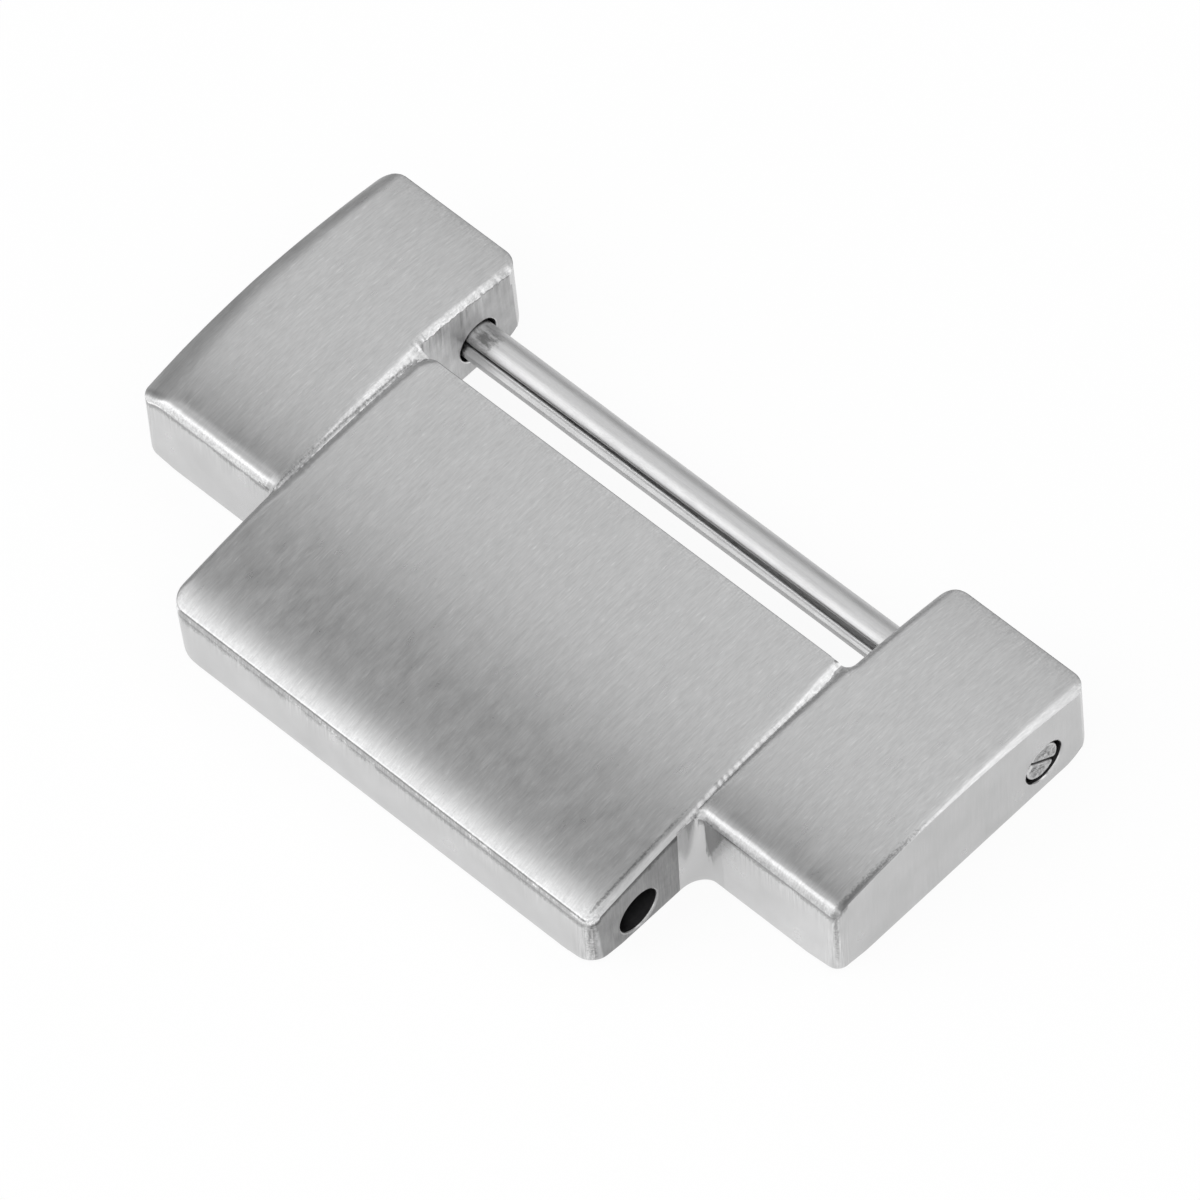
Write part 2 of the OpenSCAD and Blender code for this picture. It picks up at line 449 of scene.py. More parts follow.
bodyShape = {
    "seam": 2.89,   # where the cutter's finish on the centre's side ends, in y
    "blendJoin": 0.62,   # how far along the ear's front the blend's points end
    "frontBlend": {"top": (0.20, 0.24), "under": (0.46, 0.66)},   # reach of the concave blend along x and y
    "gapBlend": 0.20,
    "centreCorner": {-1: 0.50, 1: 0.30},
    "earFrontCorner": {-1: 0.30, 1: 0.12},
    "earBackCorner": {-1: 0.50, 1: 0.45},
    "earInnerCorner": {-1: 0.50, 1: 0.48},
    # How much rounder the front corners are along the underside, and how much sharper the ears' back corners
    "underFront": {"centreCorner": {-1: 0.20, 1: 0.20}, "earFrontCorner": {-1: 0.08, 1: 0.20}},
    "underBack": -0.14,
    "leftInset": 0.12,   # how far the centre's left side stands inside the nominal width
    "underRound": 0.18,
    "heelRound": 1.0,
    "centreFront": (1.3, 0.085, 2.6),   # width, depth and steepness of a rolled edge
    "centreFrontLip": (0.055, 0.16),
    "centreBackLip": (0.04, 0.05),
    "earFront": {-1: (1.1, 0.045, 2.2), 1: (1.2, 0.04, 2.2)},
    "earFrontSoft": {-1: (0.38, 0.044, 2.4), 1: (0.36, 0.036, 2.4)},
    "earFrontLip": {-1: (0.12, 0.15, 1.7), 1: (0.16, 0.165, 1.7)},
    "earBack": (0.30, 0.01, 2.0),
    "earBackLip": (0.02, 0.03),
    "cornerSoft": 0.02,
    "grooveWall": 6.0,   # steepness of the step beside the centre block
    "rimBevel": 0.045,
    # Heights of the wall's rows, as shares of the way down
    "wallLevels": [0.015, 0.035, 0.06, 0.095, 0.14, 0.20, 0.29, 0.40, 0.52, 0.65, 0.78, 0.90],
    # The mesh inside each outline: distances of its rows from the outline, and the grid's step
    "topRows": [0.008, 0.02, 0.035, 0.055, 0.08, 0.11, 0.145, 0.185, 0.23, 0.28, 0.34, 0.41, 0.49, 0.58,
                0.68],
    "topStep": 0.17,
    "underRows": [0.006, 0.018, 0.036, 0.06, 0.09, 0.13, 0.18, 0.26],
    "underStep": 0.22,
    "grooveBand": (6.30, 7.10, 3.0, 8.56, 0.032, 0.036),   # range and step of the fine mesh there
}
tiny = 1e-6

# Unevenness along an edge: its size in mm, or as a share of a roll, its step in mm and its noise's seed
unevenness = {
    "leftInnerPlan": (0.016, 0.045, 8),
    "leftInnerRoll": (0.10, 0.075, 3),
    "groove": (0.010, 0.09, 5),
    "earLip": (0.018, 0.14, 17),
    "sideShade": (0.12, 0.22, 15),
    "earFrontShade": (0.12, 0.4, 12),
    "gapGrime": (0.06, 0.12, 13),
    "bandWaves": (0.08, 0.5, 11),
    "bandTeeth": (0.07, 0.12, 14),
}


# Smooth noise between -1 and 1 along a line, which changes over the given step
def wobble(along, step, seed):
    count = 4096
    knots = np.random.default_rng(seed).uniform(-1, 1, count)
    spot = np.asarray(along, float) / step
    whole = np.floor(spot).astype(int)
    part = spot - whole
    part = part * part * (3 - 2 * part)
    before, after = knots[whole % count], knots[(whole + 1) % count]
    return before + (after - before) * part


def uneven(name, along):
    size, step, seed = unevenness[name]
    return size * wobble(along, step, seed)


def arcPoints(cx, cy, rx, ry, start, end, count):
    angles = np.radians(np.linspace(start, end, count))
    return [(cx + rx * math.cos(a), cy + ry * math.sin(a)) for a in angles]


# Points along a straight run, closer together near its ends
def runPoints(p, q, count):
    spots = np.linspace(0, math.pi, count + 2)[1:-1]
    return [(p[0] + (q[0] - p[0]) * t, p[1] + (q[1] - p[1]) * t) for t in (1 - np.cos(spots)) / 2]


# One side of the plan outline, drawn for the right, from the middle of the front to the middle of the back
def halfOutline(side, level):
    s = bodyShape
    c, g, w = link["centreHalf"], link["gapHalf"], link["halfWidth"]
    front, back, gap = link["earFront"], link["earBack"], link["centreBack"]
    bx, by = s["frontBlend"][level]
    seam, join, gr = s["seam"], link["centreHalf"] + s["blendJoin"], s["gapBlend"]
    c -= s["leftInset"] * (side < 0)
    atUnder = level == "under"
    atBack = s["underBack"] * atUnder
    cr, fr = (s[k][side] + s["underFront"][k][side] * atUnder for k in ("centreCorner", "earFrontCorner"))
    br, ir = (s[k][side] + atBack for k in ("earBackCorner", "earInnerCorner"))
    half = [(0.0, 0.0)] + runPoints((0, 0), (c - cr, 0), 90)
    half += arcPoints(c - cr, cr, cr, cr, -90, 0, 15)
    half += runPoints((c, cr), (c, seam), 40) + [(c, seam)] + runPoints((c, seam), (c, front - by), 6)
    half += arcPoints(c + bx, front - by, bx, by, 180, 90, 19)
    half += runPoints((c + bx, front), (join, front), 8) + [(join, front)]
    half += runPoints((join, front), (w - fr, front), 50)
    half += arcPoints(w - fr, front + fr, fr, fr, -90, 0, 13)
    half += runPoints((w, front + fr), (w, back - br), 90)
    half += arcPoints(w - br, back - br, br, br, 0, 90, 13)
    half += runPoints((w - br, back), (g + ir, back), 50)
    half += arcPoints(g + ir, back - ir, ir, ir, 90, 180, 13)
    inner = runPoints((g, back - ir), (g, gap + gr), 90)
    if level == "top" and side < 0:
        # The belt left a ragged edge above the left ear's inner face
        last = len(inner) - 1
        fade = [math.sin(math.pi * i / last) ** 0.5 for i in range(len(inner))]
        inner = [(x + uneven("leftInnerPlan", y) * f, y) for (x, y), f in zip(inner, fade)]
    half += inner
    half += arcPoints(g - gr, gap + gr, gr, gr, 0, -90, 9)
    half += runPoints((g - gr, gap), (0, gap), 90) + [(0.0, gap)]
    return half


def planOutline(level):
    left = halfOutline(-1, level)
    return np.array(halfOutline(1, level) + [(-x, y) for x, y in reversed(left[1:-1])])


def distanceTo(points, line):
    best = np.full(len(points), 1e9)
    for a, b in zip(line[:-1], line[1:]):
        ab = b - a
        t = np.clip(((points - a) @ ab) / max(ab @ ab, 1e-12), 0, 1)
        best = np.minimum(best, np.hypot(*(points - a - t[:, None] * ab).T))
    return best


def rolled(d, width, depth, power):
    return depth * np.clip((width - d) / width, 0, None) ** power


def lipped(d, width, depth):
    u = np.clip((width - d) / width, 0, 1)
    return depth * (1 - np.sqrt(np.clip(1 - u * u, 0, 1)))


def archHeight(y, name):
    radius, crest = link[name + "Arch"], link[name + "Crest"]
    return link[name + "Height"] - radius + np.sqrt(radius ** 2 - (y - crest) ** 2)


def softMax(a, b, k):
    h = np.clip(0.5 + 0.5 * (a - b) / k, 0, 1)
    return b + (a - b) * h + k * h * (1 - h)


# A value that differs from side to side and changes along y between its stations
def alongSides(stations, side, y):
    left, right = (np.interp(y, [p[0] for p in stations[k]], [p[1] for p in stations[k]]) for k in (-1, 1))
    return np.where(side < 0, left, right)


# Where the groove between the centre block and each ear runs, and where the ear's inner edge runs
grooveLine = {
    -1: [(3.3, 6.66), (4.2, 6.64), (7.8, 6.62), (8.2, 6.60), (8.4, 6.53), (8.6, 6.38)],
    1: [(3.3, 6.75), (4.2, 6.71), (7.0, 6.70), (8.6, 6.66)],
}
innerLine = {
    -1: [(3.3, 6.66), (4.2, 6.64), (7.8, 6.62), (8.3, 6.66), (8.9, 6.80)],
    1: [(3.3, 6.75), (4.2, 6.71), (7.0, 6.70), (8.5, 6.70), (8.85, 6.80)],
}
# Width, depth and power of each side edge's roll, at stations along y
sideEdges = {
    "centreWidth": {
        -1: [(0.3, 0.22), (3.1, 0.24), (3.7, 0.36), (8.6, 0.34)],
        1: [(0.3, 0.19), (3.5, 0.15), (7.0, 0.17), (8.6, 0.30)],
    },
    "centreDepth": {
        -1: [(0.3, 0.11), (3.1, 0.11), (4.2, 0.13), (8.6, 0.15)],
        1: [(0.3, 0.12), (3.5, 0.10), (7.0, 0.11), (8.6, 0.18)],
    },
    "centrePower": {-1: [(0, 1.7)], 1: [(0, 1.35)]},
    "earInnerWidth": {
        -1: [(3.6, 0.05), (5.0, 0.10), (7.5, 0.22), (12.1, 0.24)],
        1: [(3.6, 0.04), (4.6, 0.14), (7.0, 0.26), (12.1, 0.26)],
    },
    "earInnerDepth": {
        -1: [(3.6, 0.01), (5.0, 0.03), (7.5, 0.11), (12.1, 0.14)],
        1: [(3.6, 0.01), (4.6, 0.04), (7.0, 0.08), (12.1, 0.11)],
    },
    "earInnerPower": {-1: [(0, 1.4)], 1: [(0, 1.8)]},
    "earOuterWidth": {
        -1: [(3.6, 1.25), (5.0, 1.05), (7.0, 0.80), (12.1, 0.50)],
        1: [(3.6, 0.07), (6.5, 0.07), (9.0, 0.14), (12.1, 0.28)],
    },
    "earOuterDepth": {
        -1: [(3.6, 0.42), (4.3, 0.35), (5.0, 0.28), (6.0, 0.22), (7.5, 0.16), (12.1, 0.16)],
        1: [(3.6, 0.04), (6.5, 0.04), (9.0, 0.08), (12.1, 0.16)],
    },
    "earOuterPower": {-1: [(0, 2.2)], 1: [(0, 1.2)]},
}


# Drop at the distance d from a side edge; beyond the edge it goes on falling at the given steepness
def edgeDrop(name, side, y, d, beyond=0.0):
    width, depth, power = (alongSides(sideEdges[name + k], side, y) for k in ("Width", "Depth", "Power"))
    return rolled(np.clip(d, 0, None), width, depth, power) + beyond * np.clip(-d, 0, None)


# How much a round corner of radius r takes off the distance to one edge, at the distance t from the other
def cornerLoss(t, r):
    return r - np.sqrt(np.clip(r * r - np.clip(r - t, 0, r) ** 2, 0, None))


def topHeights(points, outline):
    s = bodyShape
    x, y = points[:, 0], points[:, 1]
    ax = np.abs(x)
    side = np.where(x < 0, -1, 1)
    soft = s["cornerSoft"]
    corners = ("centreCorner", "earFrontCorner", "earBackCorner", "earInnerCorner")
    radius = {k: np.where(side < 0, s[k][-1], s[k][1]) for k in corners}
    # The centre block falls off at its front, its back and its sides
    jagged = uneven("groove", y) * (y > link["earFront"])
    inCentre = alongSides(grooveLine, side, y) + jagged - ax - cornerLoss(y, radius["centreCorner"])
    half = link["centreHalf"] - s["leftInset"] * (side < 0)
    fromFront = y - cornerLoss(half - ax, radius["centreCorner"])
    frontDrop = rolled(fromFront, *s["centreFront"]) + lipped(fromFront, *s["centreFrontLip"])
    backDrop = lipped(link["centreBack"] - y, *s["centreBackLip"])
    sideDrop = edgeDrop("centre", side, y, inCentre, s["grooveWall"])
    centreZ = archHeight(y, "centre") - softMax(softMax(sideDrop, frontDrop, soft), backDrop, soft)
    # Each ear falls off at its front and along the blend, at its back and at both its sides
    frontE = np.zeros(len(points))
    mirrored = np.column_stack([ax, y])
    for k in (-1, 1):
        own = side == k
        d = distanceTo(mirrored[own], frontLineOf(outline, k))
        lipWave = uneven("earLip", x[own]) * np.clip(d / 0.1, 0, 1)
        rolls = rolled(d, *s["earFront"][k]) + rolled(d, *s["earFrontSoft"][k])
        frontE[own] = rolls + rolled(d + lipWave, *s["earFrontLip"][k])
    toBack = link["earBack"] - y - cornerLoss(link["halfWidth"] - ax, radius["earBackCorner"])
    toBack = toBack - cornerLoss(ax - link["gapHalf"], radius["earInnerCorner"])
    backE = rolled(toBack, *s["earBack"]) + lipped(toBack, *s["earBackLip"])
    toOuter = link["halfWidth"] - ax - cornerLoss(y - link["earFront"], radius["earFrontCorner"])
    toInner = ax - alongSides(innerLine, side, y)
    ragged = 1 + uneven("leftInnerRoll", y) * (side < 0) * (y > 6)
    fall = np.interp(y, [8.0, 8.35], [1.5, 0.3])
    innerE = edgeDrop("earInner", side, y, toInner, fall) * ragged
    outerE = edgeDrop("earOuter", side, y, toOuter)
    earDrop = softMax(frontE, outerE, soft + 0.5 * np.minimum(frontE, outerE))
    for other in (backE, innerE):
        earDrop = softMax(earDrop, other, soft)
    earZ = np.where(y < s["seam"], -1, archHeight(y, "ear") - earDrop)
    return np.maximum(centreZ, earZ)


# The ear's front edge in plan, drawn for the right: the concave blend, then straight on past the corner
def frontLineOf(outline, side):
    s = bodyShape
    front = link["earFront"]
    start = front - s["frontBlend"]["top"][1] - tiny
    own = outline * (side, 1)
    straight = link["halfWidth"] - s["earFrontCorner"][side]
    alongX = (own[:, 0] >= link["gapHalf"] - 0.16) & (own[:, 0] <= straight + tiny)
    alongY = (own[:, 1] >= start) & (own[:, 1] <= front + tiny)
    line = own[alongX & alongY]
    line = line[np.argsort(line[:, 0] + line[:, 1])]
    return np.vstack([line, [(link["halfWidth"] + 0.5, front)]])


def underHeights(points, outline):
    y = points[:, 1]
    q = bodyShape["underRound"]
    heel = bodyShape["heelRound"]
    over = np.clip((y - (link["earBack"] - heel)) / heel, 0, 1)
    heelZ = heel * (1 - np.sqrt(np.clip(1 - over ** 2, 0, 1)))
    ring = np.vstack([outline, outline[:1]])
    d = distanceTo(points, ring)
    ax = np.abs(points[:, 0])
    for cx, cy in ((link["centreHalf"], 0), (link["halfWidth"], link["earFront"])):
        q = q + 0.14 * np.clip(1.2 - np.hypot(ax - cx, y - cy) / 0.8, 0, 1)
    # The heel's own curve already rounds the ears' back edge
    atBack = np.abs(y - link["earBack"]) < 0.3
    inEar = ax > link["gapHalf"] - 0.01
    return heelZ + np.where(atBack, 0, lipped(d, q, q)) * np.where(inEar, np.maximum(1 - over, 0.25), 1)


# From 1 on a line to 0 at the given half width from it
def nearLine(d, width):
    return np.clip(1 - np.abs(d) / width, 0, 1)


# The strongest of several marks, each with its condition, distance from its line, half width and strength
def strongest(marks, gain=1.0):
    shown = [
        np.where(where, np.clip(nearLine(d, width) * gain, 0, 1) * strength, 0)
        for where, d, width, strength in marks
    ]
    return np.maximum.reduce(shown)


# Painted highlight and shade on each ear's lip, at distances behind the ear's front
lipLightAndShade = {
    -1: [(0, 1.4), (0.08, 1.3), (0.12, 0.0), (0.20, -0.8), (0.30, 0)],
    1: [(0, 0.6), (0.10, 0.45), (0.17, -0.25), (0.25, -0.2), (0.34, 0)],
}


# Where painted shade with grime, belt drag, and painted highlights and shade show, for points of the body in
# mm
def wearAndLightMasks(points, outline):
    x, y, z = points.T
    ax = np.abs(x)
    side = np.where(x < 0, -1, 1)
    right = side > 0
    c, w, g = link["centreHalf"], link["halfWidth"], link["gapHalf"]
    front, back, seam = link["earFront"], link["earBack"], bodyShape["seam"]
    below = topHeights(points[:, :2], outline) - z
    atTop = below < 0.012
    onRim = distanceTo(points[:, :2], np.vstack([outline, outline[:1]])) < 0.002
    onTop = atTop & ~onRim
    onWall = ~onTop
    inGap = onWall & (ax < g + 0.01) & (y > 8.8)
    fromGroove = ax - alongSides(grooveLine, side, y)
    atGroove = onTop & (y > 3.2) & (y < 8.6)
    rightFade = np.interp(y, [0.1, 0.5, 3.0, 3.6], [0.5, 1.0, 0.8, 0.5])
    outerFade = np.interp(y, [3.6, 4.2, 5.8, 7.8], [1.6, 1.4, 0.9, 0])
    # Painted shade with some grime: dark lines along the grooves, the centre's right top edge and the right
    # ear's outer top edge, on the centre's side beside the bore and under the ears' front crease; grime
    # along the top of the gap walls
    shadeAndGrime = strongest([
        (atGroove, fromGroove, np.where(right, 0.11, 0.07), np.where(right, 0.68, 0.85)),
        (onTop & right & (y < 3.6), c - 0.22 - ax, 0.10, rightFade),
        (onTop & right & (y > front), w - ax, 0.30, outerFade),
        (onWall & right & (ax < c + 0.02) & (y < seam), below, 0.30 + uneven("sideShade", y), 1.15),
        (onWall & (ax > g) & (np.abs(y - front) < 0.4), below, 0.26 + uneven("earFrontShade", x), 1.1),
        (inGap, below, 0.13 + uneven("gapGrime", y), 0.7),
    ])
    # Painted shade: a dark triangle where the blend runs out under the ear's crease
    slant = np.interp(ax, [6.93, 6.96, 7.62], [3.0, 0.62, 2.35])
    triangle = np.clip((z - slant) / 0.25, 0, 1) * (np.abs(y - front) < 0.03) * (ax > 6.93) * right
    # The dark line down the ear's corner, and the worn corner of the centre block
    cornerLine = nearLine(np.hypot(ax - w + 0.05, y - front - 0.03), 0.13) * right
    wornCorner = 0.85 * nearLine(np.hypot(ax - c + 0.09, y - 0.09), 0.30) * right
    # Painted shade: the mottled dark band under the centre's front crease
    low = 1.44 + 0.014 * x - uneven("bandWaves", x) - uneven("bandTeeth", x)
    frontShadeBand = np.clip((z - low) / 0.38, 0, 1) * (y < 0.045) * (ax < c - 0.15)
    onlyWall = np.where(onTop, 0, np.maximum.reduce([triangle, cornerLine, wornCorner]))
    shadeAndGrime = np.clip(np.maximum.reduce([shadeAndGrime, onlyWall, frontShadeBand * 0.95]), 0, 1)
    corners = [(c, 0.0, 0.7, 1.0), (w, front, 0.5, 0.8), (w, back, 0.5, 0.4)]
    drag = strongest([
        *((True, np.hypot(ax - cx, y - cy), reach, strength) for cx, cy, reach, strength in corners),
        (onTop & (y < 8.6) & (ax < 6.9), link["centreBack"] - y, 0.45, 0.5),
        (atGroove, fromGroove, 0.22, 0.8),
        (onTop & (y > 8.4), ax - g, 0.28, 0.9),
        (onTop & (ax > g), back - y, 0.6, 0.55),
        (onTop & (ax > g), front - y, 0.35, 0.6),
        (onTop & (ax < c), y, 0.4, 0.35),
        (onWall & (y < 3.7), below, 0.8, 0.45),
        (inGap, below, 0.3, 0.5),
    ])
    # Painted highlights along the rolled edges
    outerRise = np.interp(y, [6, 9, 12], [0.3, 0.55, 0.8])
    innerRise = np.interp(y, [6.5, 8.5, 12], [0.2, 0.6, 0.7])
    sideFade = np.interp(y, [0.3, 1.6, 3.2], [0.75, 0.5, 0])
    gapRise = np.interp(y, [5, 7, 8.6], [0.1, 0.5, 0.8])
    paintedLight = strongest([
        (atTop & right & (y > 6), w - ax, 0.26, outerRise),
        (atTop & ~right & (y > 6.5) & (ax < 7.3), ax - g + 0.1, 0.28, innerRise),
        (atTop & (ax < c) & (y < 1), y, 0.5, 0.42),
        (atTop & right & (y > 0.15) & (y < 3.4), ax - c + 0.06, 0.12, sideFade),
        (atTop & right & (y > 5) & (y < 8.7), ax - 6.55, 0.16, gapRise),
    ], 1.6)
    onLip = atTop & (ax > 6.9) & (y > front - 0.3) & (y < front + 0.34)
    # Painted highlight and shade on the ears' lips, and whole faces painted a little darker or brighter for
    # their light and shade: beside the bore, the right ear's outer and front faces, and the left ear's wall
    # in the gap
    tones = [
        (onLip, alongSides(lipLightAndShade, side, y - front)),
        (onWall & (np.abs(ax - c) < 0.02) & (y < seam - 0.01), -0.38),
        (onWall & right & (ax > w - 0.02) & (y > front + 0.1), -0.13),
        (onWall & right & (ax > c + 0.7) & (y < front + 0.01), 0.08),
        (inGap & ~right, np.interp(y, [9.0, 10.2, 11.2], [0.5, 0.36, 0.0])),
    ]
    for where, value in tones:
        paintedLight = np.where(where, value, paintedLight)
    return shadeAndGrime, drag, paintedLight


# Interior points: a coarse grid, rows near the outline and a fine band along the groove
def interiorPoints(outline, distances, coarse, bands):
    xs = np.arange(-link["halfWidth"], link["halfWidth"] + tiny, coarse)
    ys = np.arange(0, link["earBack"] + tiny, coarse)
    grid = np.array([(x, y) for x in xs for y in ys])
    ring = np.vstack([outline, outline[:1]])
    following = np.roll(outline, -1, 0) - np.roll(outline, 1, 0)
    normals = np.column_stack([-following[:, 1], following[:, 0]])
    normals /= np.hypot(*normals.T)[:, None]
    inside = insidePlan(grid, outline) & (distanceTo(grid, ring) > distances[-1] + coarse * 0.4)
    for band in bands:
        inside &= ~bandMask(grid, band)
    sets = [grid[inside]]
    for d in distances:
        row = outline + normals * d
        good = insidePlan(row, outline) & (distanceTo(row, ring) > d * 0.985 - tiny)
        for band in bands:
            good &= ~bandMask(row, band)
        sets.append(row[good])
    for x0, x1, y0, y1, dx, dy in bands:
        across, along = np.arange(x0, x1 + tiny, dx), np.arange(y0, y1 + tiny, dy)
        for side in (-1, 1):
            cell = np.array([(side * x, y) for x in across for y in along])
            good = insidePlan(cell, outline)
            good[good] &= distanceTo(cell[good], ring) > 0.014
            sets.append(cell[good])
    return np.vstack(sets)


def bandMask(points, band):
    x0, x1, y0, y1, dx, dy = band
    ax = np.abs(points[:, 0])
    return (ax > x0 - dx) & (ax < x1 + dx) & (points[:, 1] > y0 - dy) & (points[:, 1] < y1 + dy)


def insidePlan(points, outline):
    x, y = points[:, 0], points[:, 1]
    crossed = np.zeros(len(points), bool)
    for a, b in zip(outline, np.roll(outline, -1, 0)):
        if a[1] == b[1]:
            continue
        spans = (a[1] > y) != (b[1] > y)
        crossed ^= spans & (x < (b[0] - a[0]) * (y - a[1]) / (b[1] - a[1]) + a[0])
    return crossed


# Triangles over the plan, with the outline's own points first
def triangulate(outline, inner):
    points = [Vector(p) for p in outline] + [Vector(p) for p in inner]
    count = len(outline)
    ring = [(i, (i + 1) % count) for i in range(count)]
    verts, _, faces, origin, _, _ = delaunay_2d_cdt(points, ring, [list(range(count))], 1, 1e-7)
    order = [None] * len(verts)
    for i, sources in enumerate(origin):
        order[i] = min(sources) if sources else len(points) + i
    return verts, faces, order


def buildBody():
    s = bodyShape
    verts, faces, rims = [], [], []
    for level, heights, bands in (("top", topHeights, [s["grooveBand"]]), ("under", underHeights, [])):
        outline = planOutline(level)
        count = len(outline)
        inner = interiorPoints(outline, s[level + "Rows"], s[level + "Step"], bands)
        flat, triangles, order = triangulate(outline, inner)
        plan = np.array([(v[0], v[1]) for v in flat])
        z = heights(plan, outline)
        base = len(verts)
        verts += [(p[0], p[1], h) for p, h in zip(plan, z)]
        for tri in triangles:
            loop = [base + i for i in tri]
            a, b, c = (plan[i] for i in tri[:3])
            turned = (b[0] - a[0]) * (c[1] - a[1]) - (b[1] - a[1]) * (c[0] - a[0]) > 0
            faces.append(loop if turned == (level == "top") else loop[::-1])
        place = {o: base + i for i, o in enumerate(order) if o < count}
        rims.append([place[i] for i in range(count)])
    wall = [rims[0]]
    for t in s["wallLevels"]:
        row = []
        for a, b in zip(*rims):
            row.append(len(verts))
            verts.append(tuple(p + (q - p) * t for p, q in zip(verts[a], verts[b])))
        wall.append(row)
    wall.append(rims[1])
    for above, below in zip(wall[:-1], wall[1:]):
        for i in range(count):
            j = (i + 1) % count
            faces.append([above[j], above[i], below[i], below[j]])
    body = meshFrom("brushedLinkBody", rowPoints(verts), faces)
    print("link body: %d vertices, %d faces" % (len(body.data.vertices), len(body.data.polygons)))
    return body


# A lathed cutter along x with both mouths flared, from the mouth at x0 to the mouth at x1
def boreCutter(name, x0, x1, y, z):
    radius, bevel = link["holeRadius"], bodyShape["rimBevel"]
    beyond, around = 0.12, 72
    # Distance in from the mouth, and radius there
    mouth = [
        (-beyond, radius + bevel + beyond * 0.9),
        (0, radius + bevel),
        (bevel * 0.4, radius + bevel * 0.35),
        (bevel * 1.1, radius),
    ]
    steps = [(x0 + inward, r) for inward, r in mouth]
    steps += [(x, radius) for x in np.linspace(x0 + 1, x1 - 1, 5)]
    steps += [(x1 - inward, r) for inward, r in reversed(mouth)]
    angles = [2 * math.pi * k / around for k in range(around)]
    verts = [(x, y + r * math.cos(a), z + r * math.sin(a)) for x, r in steps for a in angles]
    return meshFrom(name, rowPoints(verts), tubeFaces(len(steps), around))


def cutBores(body):
    g, w, c = link["gapHalf"], link["halfWidth"], link["centreHalf"]
    cutters = [
        boreCutter("centreBoreCut", -c, c, link["boreY"], link["boreZ"]),
        boreCutter("leftHoleCut", -w, -g, link["earHoleY"], link["earHoleZ"]),
        boreCutter("rightHoleCut", g, w, link["earHoleY"], link["earHoleZ"]),
    ]
    for cutter in cutters:
        modifier = body.modifiers.new(cutter.name, "BOOLEAN")
        modifier.operation = "DIFFERENCE"
        modifier.solver = "EXACT"
        modifier.object = cutter
    bakeModifiers(body)
    for cutter in cutters:
        bpy.data.objects.remove(cutter)


# Faces in the bores, on the brushed top, on the cutter's faces, and on the satin sides and underside
def finishBody(body):
    mesh = body.data
    mesh.materials.clear()
    for material in (brushedSteel, satinSteel, boreShadeSteel, machinedSteel):
        mesh.materials.append(material)
    g, seam = link["gapHalf"], bodyShape["seam"]
    rim = link["holeRadius"] + bodyShape["rimBevel"] + 0.01
    for polygon in mesh.polygons:
        c, n = polygon.center / mm, polygon.normal
        y = c.y + midY
        ear = abs(c.x) > g - 0.01
        holeY, holeZ = (link["earHoleY"], link["earHoleZ"]) if y > 6 else (link["boreY"], link["boreZ"])
        fromAxis = math.hypot(y - holeY, c.z - holeZ)
        radial = abs(n.x) < 0.9 and fromAxis < rim and (y < 6 or ear)
        facesAxis = (n.y * (holeY - y) + n.z * (holeZ - c.z)) > 0
        centreSide = abs(n.x) > 0.75 and y < seam and not ear
        inGap = y > link["centreBack"] - 0.01 and abs(c.x) < g + 0.01 and abs(n.z) < 0.3
        if radial and facesAxis:
            polygon.material_index = 2 if fromAxis < link["holeRadius"] + 0.003 else 1
        elif n.z > 0.30:
            polygon.material_index = 0
        elif centreSide or inGap:
            polygon.material_index = 3
        else:
            polygon.material_index = 1
        polygon.use_smooth = True
    coords = np.zeros(len(mesh.vertices) * 3)
    mesh.vertices.foreach_get("co", coords)
    coords = coords.reshape(-1, 3) / mm
    # The brush map's U runs along x, across the strokes
    flat = np.column_stack([coords[:, 0], coords[:, 1] + coords[:, 2]]) / 25.0 + 0.5
    masks = wearAndLightMasks(coords + (0, midY, 0), planOutline("top"))
    writeMaps(mesh, "brushMap", flat, dict(zip(("edgeShadeAndGrime", "edgeDrag", "edgeLightAndShade"), masks)))
    mesh.set_sharp_from_angle(angle=math.radians(28))
    weighted = body.modifiers.new("evenNormals", "WEIGHTED_NORMAL")
    weighted.mode = "FACE_AREA_WITH_ANGLE"
    weighted.keep_sharp = True
    bakeModifiers(body)


body = buildBody()
cutBores(body)
finishBody(body)
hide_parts("link_body")
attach(body, "link")
print("link body done")


# Split pin: half-round wire, folded back on itself at -X, its legs parting toward the tips at +X

pinShape = {
    "radius": 0.522,
    "length": 21.92,
    # Width of the slot between the legs, at distances from the fold
    "gap": [(0.5, 0.05), (5.5, 0.085), (11.0, 0.115), (16.5, 0.17), (18.5, 0.15), (21.9, 0.078)],
    # How far the nipped tips draw in, as a share of the section, at distances from the tip
    "tips": [
        (0.010, 0.92), (0.014, 0.74), (0.0, 0.52), (0.006, 0.32), (0.0, 0.20),
        (0.008, 0.13), (0.022, 0.07), (0.045, 0.03), (0.08, 0.008), (0.13, 0.0),
    ],
    "tilt": 34,   # degrees that the slot leans forward from level
    "edgeRound": {1: 0.07, -1: 0.08},   # of the upper and of the lower leg
    "bow": 0.003,   # unevenness of the drawn wire
    "worn": {1: (0, 0), -1: (27, 25)},   # reach and lean, in degrees, of the flat worn on each leg
    # Middle and spread of the stain along the pin and round it, and of the painted shade beside the ears,
    # where the pin enters them
    "stainAlong": (4.50, 0.55),
    "stainAround": (2.35, 0.95),
    "wallShade": [(4.16, 0.12), (17.76, 0.12)],
    "lift": (-0.020, 0.028),   # the pin rests against the front and top of the holes
}


